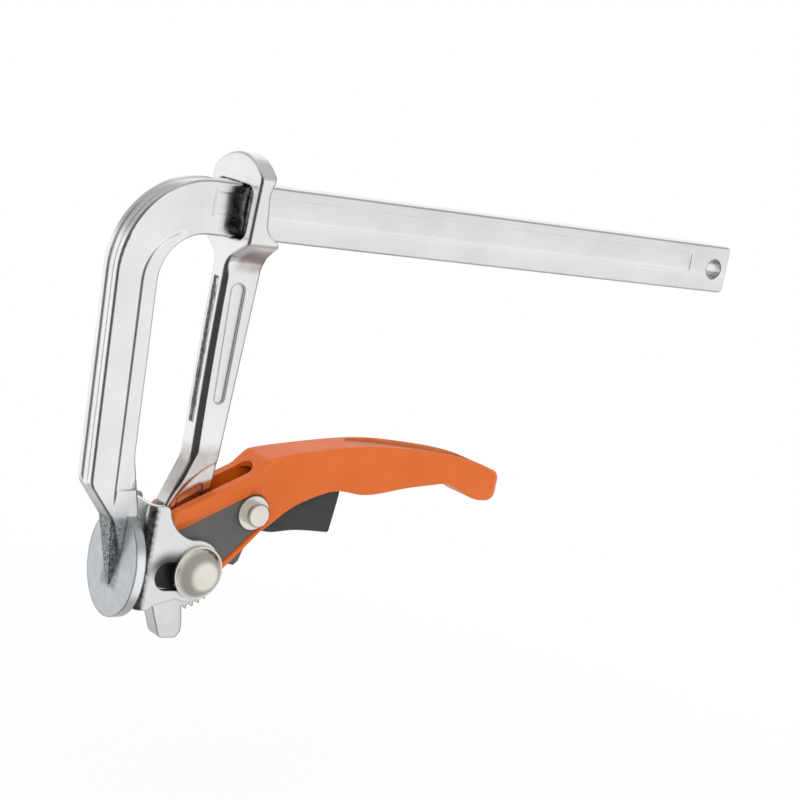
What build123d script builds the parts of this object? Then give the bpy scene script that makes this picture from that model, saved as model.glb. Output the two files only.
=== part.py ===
from build123d import *
from math import asin, cos, degrees, radians, sin
import os

# All-steel lever clamp with a moulded lever. Millimetres, +Z up.
# Origin: centre of the anvil's clamping face. +X runs along the rail to its free end,
# and the viewer's side of the clamp is -Y.

# Driving sizes: rail and fixed arm
RAIL_HEIGHT = 22.0
RAIL_THICKNESS = 12.0
RAIL_TOP = 158.5
RAIL_END = 301.0
RAIL_GROOVE_WIDTH = 9.0
RAIL_GROOVE_DEPTH = 0.4
HOLE_RADIUS = 4.75
HOLE_FROM_END = 9.2
BEND_OUTER_RADIUS = 38.0
BEND_INNER_RADIUS = 19.0
BEND_X = 9.5
ARM_LEAN = 3.3
ANVIL_HALF_WIDTH = 19.0
ANVIL_HALF_HEIGHT = 22.2
ANVIL_THICKNESS = 4.4

# Driving sizes: sliding arm
HEAD_X = 21.5
HEAD_THICKNESS = 7.3
HEAD_WAIST = 2.2
HEAD_HALF_WIDTH = 18.0
HEAD_RISE = 12.0
SLOT_CLEARANCE = 0.25
MOUTH_HALF_WIDTH = 14.5
MOUTH_DEPTH = 3.6
SHANK_THICKNESS = 9.0
TOE_THICKNESS = 8.0

# Driving sizes: ratchet, pivot, lever
PIVOT_X = 28.5
PIN_RADIUS = 4.0
RATCHET_TIP = 19.2
RATCHET_ROOT = 16.9
TOOTH_PITCH = 10.0
FIRST_GAP = -86.0
LAST_GAP = 44.0
PAWL_GAP = 4.0
PAWL_SWING = 6.5
LEVER_TILT = 26.0
LEVER_HALF_WIDTH = 10.0
FORK_HALF_GAP = 5.2
FORK_TOP = 27.0
SIDE_PLATE_THICKNESS = 3.0
SIDE_PLATE_RECESS = 0.6
PAWL_PIN_S = 32.4
PAWL_PIN_N = 11.7
PAWL_PIN_RADIUS = 3.0
CAM_LIFT_PER_DEGREE = 0.055
CAM_CLEARANCE = 0.25

# Driving sizes: pressure plate
PLATE_X = 2.1
SHEET = 2.5
EAR_INNER = 10.3
EAR_TOP = 27.4
EAR_BOTTOM = -16.2

# Sizes that follow
RAIL_BOTTOM = RAIL_TOP - RAIL_HEIGHT
RAIL_MIDDLE_Z = RAIL_TOP - RAIL_HEIGHT / 2
RAIL_HALF = RAIL_THICKNESS / 2
HEAD_TOP = RAIL_TOP + HEAD_RISE
SHANK_HALF = SHANK_THICKNESS / 2
TOE_HALF = TOE_THICKNESS / 2
EAR_OUTER = EAR_INNER + SHEET
SIDE_PLATE_OUTER = LEVER_HALF_WIDTH - SIDE_PLATE_RECESS
SIDE_PLATE_INNER = SIDE_PLATE_OUTER - SIDE_PLATE_THICKNESS
TILT_X = cos(radians(LEVER_TILT))
TILT_Z = sin(radians(LEVER_TILT))
PAWL_PIN_X = PIVOT_X + PAWL_PIN_S * TILT_X - PAWL_PIN_N * TILT_Z
PAWL_PIN_Z = PAWL_PIN_S * TILT_Z + PAWL_PIN_N * TILT_X


def side_plane(y=0.0):
    """Upright plane seen from the viewer's side: local x is +X, local y is +Z, normal -Y."""
    return Plane(origin=(0, y, 0), x_dir=(1, 0, 0), z_dir=(0, -1, 0))


def fork_plane(y=0.0):
    """The same plane turned along the lever's fork, with its origin on the main pivot."""
    return Plane(origin=(PIVOT_X, y, 0), x_dir=(TILT_X, 0, TILT_Z), z_dir=(0, -1, 0))


def polar(radius, angle):
    """Point of the side plane at a radius and an angle round the main pivot."""
    return (PIVOT_X + radius * cos(radians(angle)), radius * sin(radians(angle)))


def axis_plane(x, y, z):
    """Plane across an axis along Y, facing the viewer's side."""
    return Plane(origin=(x, y, z), z_dir=(0, -1, 0))


def corners(outline, *points):
    """Corners of a sketch nearest to the given local points."""
    return [outline.vertices().sort_by_distance((point[0], point[1], 0))[0] for point in points]


def save(piece, label):
    """Labels a finished piece and writes it."""
    piece.part.label = label
    export_step(piece.part, "parts/" + label + ".step")


os.makedirs("parts", exist_ok=True)

# Rail and fixed arm: one forged bar, bent and flattened into the anvil
LEAN_X = sin(radians(ARM_LEAN))
LEAN_Z = cos(radians(ARM_LEAN))
OUTER_BEND_Z = RAIL_TOP - BEND_OUTER_RADIUS
INNER_BEND_Z = RAIL_BOTTOM - BEND_INNER_RADIUS
OUTER_END_Z = 33.4
INNER_END_Z = 45.5
outer_start = (BEND_X - BEND_OUTER_RADIUS * LEAN_Z, OUTER_BEND_Z - BEND_OUTER_RADIUS * LEAN_X)
inner_start = (BEND_X - BEND_INNER_RADIUS * LEAN_Z, INNER_BEND_Z - BEND_INNER_RADIUS * LEAN_X)
outer_end = (outer_start[0] + (outer_start[1] - OUTER_END_Z) * LEAN_X / LEAN_Z, OUTER_END_Z)
inner_end = (inner_start[0] + (inner_start[1] - INNER_END_Z) * LEAN_X / LEAN_Z, INNER_END_Z)
NECK_OUTER = (-9.5, 17.0)
NECK_INNER = (0.0, 25.5)
CREASE_FROM_EDGE = 6.2
CREASE_DEPTH = 0.9
CREASE_REACH = 9.0
CREASE_WEDGE = CREASE_DEPTH * CREASE_REACH / CREASE_FROM_EDGE
CREASE_SHIFT = 6.4
CREASE_TAIL = 14.0
CUT_OVER = 2.0
RIM_RADIUS = 1.3
RIM_FROM_Z = 27.0
RAIL_CORNER_RADIUS = 2.0
ARM_OUTER_ROUND = 7.0
ARM_INNER_ROUND = 12.0
RIB_TOP = 19.5
RIB_TOP_X = -6.7
RIB_TOP_SIZE = (9.0, RAIL_THICKNESS - 2.0)
RIB_FOOT = -9.0
RIB_FOOT_X = -3.4
RIB_FOOT_SIZE = (2.6, 2.0)
CHANNEL_RUNOUT = 10.0
CHANNEL_RADIUS = 5.0
CHANNEL_DEPTH = 0.9
GROOVE_Z = RAIL_BOTTOM + 0.6 * RAIL_HEIGHT
GROOVE_END = RAIL_END - 25.0

with BuildPart() as rail_and_fixed_arm:
    with BuildSketch(side_plane()) as bar_outline:
        with BuildLine():
            Polyline((BEND_X, RAIL_TOP), (RAIL_END, RAIL_TOP), (RAIL_END, RAIL_BOTTOM), (BEND_X, RAIL_BOTTOM))
            CenterArc((BEND_X, INNER_BEND_Z), BEND_INNER_RADIUS, 90, 90 + ARM_LEAN)
            Polyline(inner_start, inner_end, NECK_INNER, (0, 0), (-3, 0), NECK_OUTER, outer_end, outer_start)
            CenterArc((BEND_X, OUTER_BEND_Z), BEND_OUTER_RADIUS, 180 + ARM_LEAN, -90 - ARM_LEAN)
        make_face()
        fillet(corners(bar_outline, (RAIL_END, RAIL_TOP), (RAIL_END, RAIL_BOTTOM)), RAIL_CORNER_RADIUS)
        fillet(corners(bar_outline, outer_end), ARM_OUTER_ROUND)
        fillet(corners(bar_outline, inner_end), ARM_INNER_ROUND)
    extrude(amount=RAIL_HALF, both=True)
    rim = rail_and_fixed_arm.faces().filter_by(Axis.Y).edges()
    fillet(rim.filter_by(lambda e: e.center().Z > RIM_FROM_Z), RIM_RADIUS)
    # soft crease down each side of the arm: the inner third is bevelled and runs out in the bend
    crease_radius = BEND_INNER_RADIUS + CREASE_FROM_EDGE - CREASE_SHIFT
    crease_centre = (BEND_X - CREASE_SHIFT * LEAN_Z, INNER_BEND_Z - CREASE_SHIFT * LEAN_X)
    crease_turn = (crease_centre[0] - crease_radius * LEAN_Z, crease_centre[1] - crease_radius * LEAN_X)
    crease_foot = (inner_end[0] - CREASE_FROM_EDGE, INNER_END_Z - CREASE_TAIL)
    with BuildLine(side_plane()) as crease_path:
        CenterArc(crease_centre, crease_radius, 95, 85 + ARM_LEAN)
        Line(crease_turn, crease_foot)
    for side in (-1, 1):
        crease_start = Plane(origin=crease_path.line @ 0, x_dir=(0, side, 0), z_dir=crease_path.line % 0)
        inward = 1 if crease_start.y_dir.Z < 0 else -1
        with BuildSketch(crease_start):
            with BuildLine():
                Polyline(
                    (RAIL_HALF, 0), (RAIL_HALF - CREASE_WEDGE, inward * CREASE_REACH),
                    (RAIL_HALF + CUT_OVER, inward * CREASE_REACH), (RAIL_HALF + CUT_OVER, 0), (RAIL_HALF, 0),
                )
            make_face()
        sweep(path=crease_path.wires()[0], mode=Mode.SUBTRACT)
    # anvil disc
    with BuildSketch(Plane.YZ.offset(-ANVIL_THICKNESS)):
        Ellipse(ANVIL_HALF_WIDTH, ANVIL_HALF_HEIGHT)
    extrude(amount=ANVIL_THICKNESS)
    # rib that runs out on the anvil's back
    with BuildSketch(Plane.XY.offset(RIB_TOP)):
        with Locations((RIB_TOP_X, 0)):
            Rectangle(*RIB_TOP_SIZE)
    with BuildSketch(Plane.XY.offset(RIB_FOOT)):
        with Locations((RIB_FOOT_X, 0)):
            Rectangle(*RIB_FOOT_SIZE)
    loft()
    # shallow channel along the arm's outer face
    with BuildLine(side_plane()) as channel_path:
        CenterArc((BEND_X, OUTER_BEND_Z), BEND_OUTER_RADIUS, 90, 90 + ARM_LEAN)
        Line(outer_start, (outer_end[0] + CHANNEL_RUNOUT * LEAN_X, OUTER_END_Z - CHANNEL_RUNOUT * LEAN_Z))
    with BuildSketch(Plane(origin=(BEND_X, 0, RAIL_TOP), x_dir=(0, 1, 0), z_dir=(-1, 0, 0))):
        with Locations((0, CHANNEL_DEPTH - CHANNEL_RADIUS)):
            Circle(CHANNEL_RADIUS)
    sweep(path=channel_path.wires()[0], mode=Mode.SUBTRACT)
    # long hollow in each side of the rail, from the bend to short of the hole
    for side in (-1, 1):
        with BuildSketch(Plane.YZ.offset(GROOVE_END)):
            with Locations((side * RAIL_HALF, GROOVE_Z)):
                Ellipse(RAIL_GROOVE_DEPTH, RAIL_GROOVE_WIDTH / 2)
        extrude(amount=BEND_X - GROOVE_END, mode=Mode.SUBTRACT)
    with Locations(axis_plane(RAIL_END - HOLE_FROM_END, 0, RAIL_MIDDLE_Z)):
        Hole(HOLE_RADIUS)

save(rail_and_fixed_arm, "rail_and_fixed_arm")

# Sliding arm: head with the rail slot, shank, and a toe with the ratchet round the pivot
SHANK_TOP = RAIL_BOTTOM - 8.5
SHANK_FRONT_MIDDLE = (20.4, 110.0)
SHANK_FRONT_FOOT = (21.2, 46.0)
SHANK_BACK_TOP = (38.0, SHANK_TOP)
SHANK_BACK_FOOT = (33.8, 36.0)
FLARE = (13.4, 26.0)
SHOULDER_Z = RAIL_BOTTOM - SLOT_CLEARANCE
SHOULDER_ROUND = 2.5
SHOULDER_SWEEP = 8.0
HEAD_CORNER_Z = HEAD_TOP - 8.2
HEAD_CORNER_RADIUS = 3.5
HEAD_BACK = HEAD_X + HEAD_THICKNESS
FRONT_RIM_RADIUS = 1.4
SHANK_FOOT_RADIUS = 14.0
FLARE_RADIUS = 3.0
WAIST_RADIUS = 3.0
FOOT_RADIUS = 1.5
MOUTH_CORNER_RADIUS = 5.0
MOUTH_TAPER = 25.0
MOUTH_START = HEAD_X - 1.2
MOUTH_END = HEAD_X + MOUTH_DEPTH - 0.4
MOUTH_MARGIN = 0.5
SLOT_CUT = 30.0
FOOT_BACK = 34.5
TAB = [
    (13.5, -12.0), (20.8, -29.3), (22.3, -31.2), (29.6, -31.2), (31.6, -28.4), (31.2, -23.4), (29.4, -15.5),
]
TAB_CORNER_RADIUS = 1.2
BUSH_RADIUS = 5.5
FRONT_GROOVE_HALF = 1.5
FRONT_GROOVE_FLOOR = ((21.3, SHANK_TOP - 8.0), (21.9, 60.0))
POCKET_DEPTH = 1.3
POCKET_TOP = (29.0, SHANK_TOP - 12.8)
POCKET_FOOT = (29.4, 70.8)
POCKET_TOP_RADIUS = 3.2
POCKET_FOOT_RADIUS = 2.3
TOE_STEP = ((14.5, 22.0), (23.5, 36.0), (40.0, 45.5))
TOE_REACH = (5.0, 60.0, -45.0)
TOE_RAMP = 72.0
TOE_POCKET = ((18.4, 20.0), (18.4, 28.8), (29.6, 36.2), (30.2, 20.0))
TOE_POCKET_DEPTH = 0.5
TOE_POCKET_ROUND = 1.6
TOOTH_TIP_LEAD = 3.2
TOOTH_SEAT = RATCHET_ROOT - 2.0
head_front = (HEAD_X + 0.4, HEAD_TOP + 1.0)
head_ear = (HEAD_BACK, RAIL_TOP + 5.3)
waist_top = (HEAD_BACK - HEAD_WAIST, RAIL_TOP - 2.0)
waist_foot = (HEAD_BACK - 0.6, SHOULDER_Z + 7.0)
foot_top = (HEAD_BACK + 1.5, SHOULDER_Z + 4.0)
foot_corner = (FOOT_BACK, SHOULDER_Z + 1.5)

with BuildPart() as sliding_arm:
    # side view: head with a waist beside the rail, foot under the rail, shank and flare
    with BuildSketch(side_plane()) as shank_outline:
        with BuildLine():
            ThreePointArc(head_front, SHANK_FRONT_MIDDLE, SHANK_FRONT_FOOT)
            Polyline(
                SHANK_FRONT_FOOT, FLARE, polar(RATCHET_ROOT, 172), polar(0, 0), polar(RATCHET_ROOT, 72),
                SHANK_BACK_FOOT, SHANK_BACK_TOP, foot_corner, foot_top, waist_foot, waist_top, head_ear,
                (HEAD_BACK, head_front[1]), head_front,
            )
        make_face()
        fillet(corners(shank_outline, SHANK_FRONT_FOOT), SHANK_FOOT_RADIUS)
        fillet(corners(shank_outline, FLARE), FLARE_RADIUS)
        fillet(corners(shank_outline, waist_foot, waist_top), WAIST_RADIUS)
        fillet(corners(shank_outline, foot_corner), FOOT_RADIUS)
    extrude(amount=HEAD_HALF_WIDTH, both=True)
    # front view: rounded head, shoulders that sweep in to the shank
    with BuildSketch(Plane.YZ) as head_outline:
        with BuildLine():
            Polyline(
                (HEAD_HALF_WIDTH, HEAD_CORNER_Z), (HEAD_HALF_WIDTH, SHOULDER_Z),
                (SHANK_HALF, SHANK_TOP), (SHANK_HALF, TAB[2][1]), (0, TAB[2][1]),
            )
            mirror(about=Plane.YZ)
            ThreePointArc((HEAD_HALF_WIDTH, HEAD_CORNER_Z), (0, HEAD_TOP), (-HEAD_HALF_WIDTH, HEAD_CORNER_Z))
        make_face()
        for side in (-1, 1):
            fillet(corners(head_outline, (side * HEAD_HALF_WIDTH, HEAD_CORNER_Z)), HEAD_CORNER_RADIUS)
            fillet(corners(head_outline, (side * HEAD_HALF_WIDTH, SHOULDER_Z)), SHOULDER_ROUND)
            fillet(corners(head_outline, (side * SHANK_HALF, SHANK_TOP)), SHOULDER_SWEEP)
    extrude(amount=2 * SHANK_BACK_TOP[0], mode=Mode.INTERSECT)
    front_face = sliding_arm.faces().sort_by_distance((0, 0, (SHANK_TOP + SHANK_FRONT_FOOT[1]) / 2))[0]
    front_rim = front_face.edges().filter_by(lambda e: abs(e.center().Y) > 1 or e.center().Z > RAIL_TOP)
    fillet(front_rim, FRONT_RIM_RADIUS)
    # round toe and the tab under it
    with BuildSketch(side_plane()) as toe_outline:
        with Locations((PIVOT_X, 0)):
            Circle(RATCHET_ROOT)
        with BuildLine():
            Polyline(*TAB, (PIVOT_X, -8), TAB[0])
        make_face()
        fillet(corners(toe_outline, *TAB[2:5]), TAB_CORNER_RADIUS)
    extrude(amount=SHANK_HALF, both=True)
    # rail slot and the wider mouth in front of it
    with BuildSketch(Plane.YZ.offset(MOUTH_START)):
        with Locations((0, SHOULDER_Z + RAIL_HEIGHT / 2 + MOUTH_MARGIN)):
            RectangleRounded(2 * MOUTH_HALF_WIDTH, RAIL_HEIGHT + 2 * MOUTH_MARGIN, MOUTH_CORNER_RADIUS)
    extrude(amount=MOUTH_END - MOUTH_START, taper=MOUTH_TAPER, mode=Mode.SUBTRACT)
    with BuildSketch(Plane.YZ.offset(HEAD_X - 5.0)):
        with Locations((0, RAIL_MIDDLE_Z)):
            Rectangle(RAIL_THICKNESS + 2 * SLOT_CLEARANCE, RAIL_HEIGHT + 2 * SLOT_CLEARANCE)
    extrude(amount=SLOT_CUT, mode=Mode.SUBTRACT)
    # groove down the front, long pocket in each side, thinner toe with its own pocket
    with BuildSketch(side_plane()):
        with BuildLine():
            groove_top, groove_foot = FRONT_GROOVE_FLOOR
            Polyline(
                groove_top, groove_foot, (FLARE[0], groove_foot[1]), (FLARE[0], groove_top[1]), close=True
            )
        make_face()
    extrude(amount=FRONT_GROOVE_HALF, both=True, mode=Mode.SUBTRACT)
    for side in (-1, 1):
        with BuildSketch(side_plane(side * SHANK_HALF)):
            with Locations(POCKET_TOP):
                Circle(POCKET_TOP_RADIUS)
            with Locations(POCKET_FOOT):
                Circle(POCKET_FOOT_RADIUS)
            make_hull()
        extrude(amount=side * POCKET_DEPTH, mode=Mode.SUBTRACT)
        with BuildSketch(side_plane(side * TOE_HALF)):
            with BuildLine():
                ThreePointArc(*TOE_STEP)
                Polyline(
                    TOE_STEP[2], (TOE_REACH[1], TOE_STEP[2][1]), (TOE_REACH[1], TOE_REACH[2]),
                    (TOE_REACH[0], TOE_REACH[2]), (TOE_REACH[0], TOE_STEP[0][1]), TOE_STEP[0],
                )
            make_face()
        extrude(amount=-side, taper=-TOE_RAMP, mode=Mode.SUBTRACT)
        with BuildSketch(side_plane(side * TOE_HALF)) as toe_pocket:
            with BuildLine():
                Polyline(*TOE_POCKET, close=True)
            make_face()
            fillet(toe_pocket.vertices(), TOE_POCKET_ROUND)
        extrude(amount=side * TOE_POCKET_DEPTH, mode=Mode.SUBTRACT)
    # ratchet teeth, steep on the side that faces up
    with BuildSketch(side_plane()):
        for tooth in range(round((LAST_GAP - FIRST_GAP) / TOOTH_PITCH)):
            gap = FIRST_GAP + tooth * TOOTH_PITCH
            tip = gap + TOOTH_PITCH - TOOTH_TIP_LEAD
            with BuildLine():
                Polyline(
                    polar(RATCHET_ROOT, gap), polar(RATCHET_TIP, tip), polar(RATCHET_ROOT, gap + TOOTH_PITCH),
                    polar(TOOTH_SEAT, gap + TOOTH_PITCH), polar(TOOTH_SEAT, gap), close=True,
                )
            make_face()
    extrude(amount=TOE_HALF, both=True)
    with Locations(axis_plane(PIVOT_X, 0, 0)):
        Hole(BUSH_RADIUS)

save(sliding_arm, "sliding_arm")

# Pivot: bush pressed into the arm, domed rivet, a washer on each side, a thrust ring on each toe face
BUSH_HALF = 5.0
RIVET_WASHER_RADIUS = 11.3
RIVET_WASHER = 1.4
DOME_RADIUS = 10.6
DOME_HEIGHT = 6.5
WASHER_FACE = EAR_OUTER + 0.1
DOME_FACE = WASHER_FACE + RIVET_WASHER
RUNNING_FIT = 0.06
PRESS_FIT = 0.01
THRUST_RING_RADIUS = 9.0
THRUST_RING_FACE = TOE_HALF + 0.04
THRUST_RING = 1.06


def save_rings(label, radius, bore, centre, start, thickness):
    """A flat ring on each side, round an axis along Y, from a start distance outwards."""
    for side, name in ((-1, "near"), (1, "far")):
        with BuildPart() as flat_ring:
            with BuildSketch(Plane(origin=(centre[0], side * start, centre[1]), z_dir=(0, side, 0))):
                Circle(radius)
                Circle(bore, mode=Mode.SUBTRACT)
            extrude(amount=thickness)
            outer_rims = flat_ring.edges().filter_by(GeomType.CIRCLE).group_by(SortBy.RADIUS)[-1]
            chamfer(outer_rims, 0.12 * thickness)
        save(flat_ring, label + "_" + name)


with BuildPart() as pivot_bush:
    with BuildSketch(side_plane()):
        with Locations((PIVOT_X, 0)):
            Circle(BUSH_RADIUS)
            Circle(PIN_RADIUS + PRESS_FIT, mode=Mode.SUBTRACT)
    extrude(amount=BUSH_HALF, both=True)

save(pivot_bush, "pivot_bush")

DOME_SPHERE = (DOME_RADIUS**2 + DOME_HEIGHT**2) / (2 * DOME_HEIGHT)
DOME_CENTRE = DOME_FACE + DOME_HEIGHT - DOME_SPHERE
DOME_ANGLE = degrees(asin(DOME_RADIUS / DOME_SPHERE))

with BuildPart() as main_rivet:
    with BuildSketch(Plane(origin=(PIVOT_X, 0, 0))):
        with BuildLine():
            near_dome = CenterArc((0, -DOME_CENTRE), DOME_SPHERE, -90, DOME_ANGLE)
            far_dome = CenterArc((0, DOME_CENTRE), DOME_SPHERE, 90 - DOME_ANGLE, DOME_ANGLE)
            Polyline(near_dome @ 1, (PIN_RADIUS, -DOME_FACE), (PIN_RADIUS, DOME_FACE), far_dome @ 0)
            Line(far_dome @ 1, near_dome @ 0)
        make_face()
    revolve(axis=Axis((PIVOT_X, 0, 0), (0, 1, 0)))

save(main_rivet, "main_rivet")

PIVOT = (PIVOT_X, 0)
save_rings("rivet_washer", RIVET_WASHER_RADIUS, PIN_RADIUS + PRESS_FIT, PIVOT, WASHER_FACE, RIVET_WASHER)
save_rings("thrust_ring", THRUST_RING_RADIUS, BUSH_RADIUS + 0.02, PIVOT, THRUST_RING_FACE, THRUST_RING)

# Pressure plate: bent sheet, a web that faces the anvil and a slotted ear on each side
BEND_RADIUS = 4.0
EAR_LENGTH = 44.0
SLOT_TOP = PIN_RADIUS + 0.1
SLOT_WIDTH = 12.0
SLOT_LEFT = 9.0
SLOT_RIGHT = 36.0
LOBE_X = 26.3
LOBE_Z = 0.3
LOBE_RADIUS = 13.0
EAR_FOOT = [(8.4, EAR_BOTTOM), (10.6, -14.0), (LOBE_X - 6.0, -11.5)]
EAR_SWEEP = (17.6, 16.0)
EAR_NECK = (11.6, 23.4)
EAR_CORNER = (10.6, EAR_TOP)
EAR_CORNER_RADIUS = 3.0

with BuildPart() as pressure_plate:
    with BuildSketch(Plane.XY.offset(EAR_BOTTOM)) as channel_section:
        with Locations((PLATE_X + EAR_LENGTH / 2, 0)):
            Rectangle(EAR_LENGTH, 2 * EAR_OUTER)
        fillet(corners(channel_section, (PLATE_X, -EAR_OUTER), (PLATE_X, EAR_OUTER)), BEND_RADIUS)
        with Locations((PLATE_X + SHEET + EAR_LENGTH / 2, 0)):
            RectangleRounded(EAR_LENGTH, 2 * EAR_INNER, BEND_RADIUS - SHEET, mode=Mode.SUBTRACT)
    extrude(amount=EAR_TOP - EAR_BOTTOM)
    with BuildSketch(side_plane()) as ear_outline:
        with BuildLine():
            Polyline((PLATE_X, EAR_BOTTOM), *EAR_FOOT, (LOBE_X, 0), (LOBE_X, LOBE_RADIUS))
            ThreePointArc((LOBE_X, LOBE_RADIUS), EAR_SWEEP, EAR_NECK)
            Polyline(EAR_NECK, EAR_CORNER, (PLATE_X, EAR_TOP), (PLATE_X, EAR_BOTTOM))
        make_face()
        fillet(corners(ear_outline, EAR_CORNER), EAR_CORNER_RADIUS)
        with Locations((LOBE_X, LOBE_Z)):
            Circle(LOBE_RADIUS)
    extrude(amount=EAR_OUTER, both=True, mode=Mode.INTERSECT)
    with BuildSketch(side_plane()):
        with Locations(((SLOT_LEFT + SLOT_RIGHT) / 2, SLOT_TOP - SLOT_WIDTH / 2)):
            SlotOverall(SLOT_RIGHT - SLOT_LEFT, SLOT_WIDTH)
    extrude(amount=EAR_OUTER + 1, both=True, mode=Mode.SUBTRACT)

save(pressure_plate, "pressure_plate")

# Lever: moulded body with a fork, a hollow underside and a hooked end
HANDLE_START = 75.0
FORK_PLAN_END = 50.0
HANDLE_HALF_WIDTH = 8.7
HANDLE_END_HALF_WIDTH = 8.4
HANDLE_END_ROUND = 8.8
PLAN_FLOOR = -20.0
PLAN_HEIGHT = 90.0
PLAN_LENGTH = 240.0
LEVER_EDGE = 1.0
FORK_SLOT_END = 36.5
FORK_START = -4.5
FORK_SLOT_START = -40.0
FORK_NOSE = 18.5
FORK_NOSE_RADIUS = 5.0
FORK_CUT_FLOOR = -15.0
FORK_CUT = 60.0
LEVER_LOBE = 10.2
RECESS_TOP = 19.5
HANDLE_TOP = [(56.5, 47.2), (83.1, 51.8), (112.0, 54.5), (140.0, 53.3), (168.0, 49.4), (181.0, 45.6)]
HANDLE_TIP = (187.0, 38.3)
HANDLE_BELLY = [
    (179.5, 31.4), (165.5, 34.4), (154.5, 38.8), (149.0, 38.5), (128.0, 35.6), (107.0, 32.9),
    (96.0, 34.2), (86.0, 32.2), (76.5, 28.4), (63.0, 19.2),
]
FORK_UNDERSIDE = (58.2, 16.0)
NECK_S = 37.5
NECK_FOOT_RADIUS = 9.0
NECK_CREST_RADIUS = 7.0
PIN_LOBE = 7.8
PIVOT_LOBE = 7.2
RIM_CLEARANCE = 0.15
RECESS_CUT = 5.0
SPRING_X = 62.5
SPRING_TOP = 45.0
SPRING_BOTTOM = 33.0
SPRING_RADIUS = 2.6
SPRING_TURNS = 5
SPRING_SEAT_FOOT = SPRING_BOTTOM + 3.0
SPRING_SEAT_ROOF = SPRING_TOP + 0.1
WIRE_RADIUS = 0.5
TROUGH_HALF_WIDTH = 6.6
TROUGH_START = 101.0
TROUGH_END = 169.0
TROUGH_FLOOR = [(TROUGH_START - 5, 53.2), (120.0, 52.8), (145.0, 50.9), (TROUGH_END + 5, 47.0)]
TROUGH_ROOF = 65.0
TROUGH_BASE = 30.0
HOLLOW_MOUTH = ((44.0, 5.0), (80.0, 20.0))
ROOF = [(44.0, 36.0), (52.0, 40.5), (62.0, 43.5), (100.0, 49.0), (121.0, 49.3), (125.0, 45.5), (125.0, 30.0)]


def fork(s, n):
    """Point of the side plane from a place along the fork and a height across it."""
    return (PIVOT_X + s * TILT_X - n * TILT_Z, s * TILT_Z + n * TILT_X)


neck_foot = fork(NECK_S, FORK_TOP)

# The cam is a round eccentric: the contact line moves by the same amount for each degree of lever.
CAM_ECCENTRICITY = degrees(CAM_LIFT_PER_DEGREE)
CAM_RADIUS = PIVOT_X - PLATE_X - SHEET - CAM_CLEARANCE
CAM_CENTRE = (CAM_ECCENTRICITY * TILT_Z, CAM_ECCENTRICITY * TILT_X)


def cam_point(angle):
    """Point of the cam flank in fork coordinates."""
    turn = radians(angle)
    return (CAM_CENTRE[0] + CAM_RADIUS * cos(turn), CAM_CENTRE[1] + CAM_RADIUS * sin(turn))


def side_plate_outline(grow):
    """Outline of a side plate in fork coordinates: pin lobe, pivot lobe and cam nose."""
    with BuildSketch() as outline:
        Circle(PIVOT_LOBE + grow)
        with Locations((PAWL_PIN_S, PAWL_PIN_N)):
            Circle(PIN_LOBE + grow)
        make_hull()
        with BuildLine():
            Polyline(
                (PAWL_PIN_S, RECESS_TOP + grow), (PAWL_PIN_S, 0.5 * RECESS_TOP),
                (0, -PIVOT_LOBE - grow), (-8, -6.5 - grow), cam_point(178),
            )
            ThreePointArc(cam_point(178), cam_point(157), cam_point(136))
            Line(cam_point(136), (PAWL_PIN_S, RECESS_TOP + grow))
        make_face()
    return outline.sketch


with BuildPart() as thumb_trough:
    with BuildSketch(Plane.XY.offset(TROUGH_BASE)):
        with Locations(((TROUGH_START + TROUGH_END) / 2, 0)):
            SlotOverall(TROUGH_END - TROUGH_START, 2 * TROUGH_HALF_WIDTH)
    extrude(amount=TROUGH_ROOF - TROUGH_BASE)
    with BuildSketch(side_plane()):
        with BuildLine():
            Spline(*TROUGH_FLOOR)
            Polyline(
                TROUGH_FLOOR[-1], (TROUGH_FLOOR[-1][0], TROUGH_ROOF), (TROUGH_FLOOR[0][0], TROUGH_ROOF),
                TROUGH_FLOOR[0],
            )
        make_face()
    extrude(amount=TROUGH_HALF_WIDTH, both=True, mode=Mode.INTERSECT)

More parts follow.
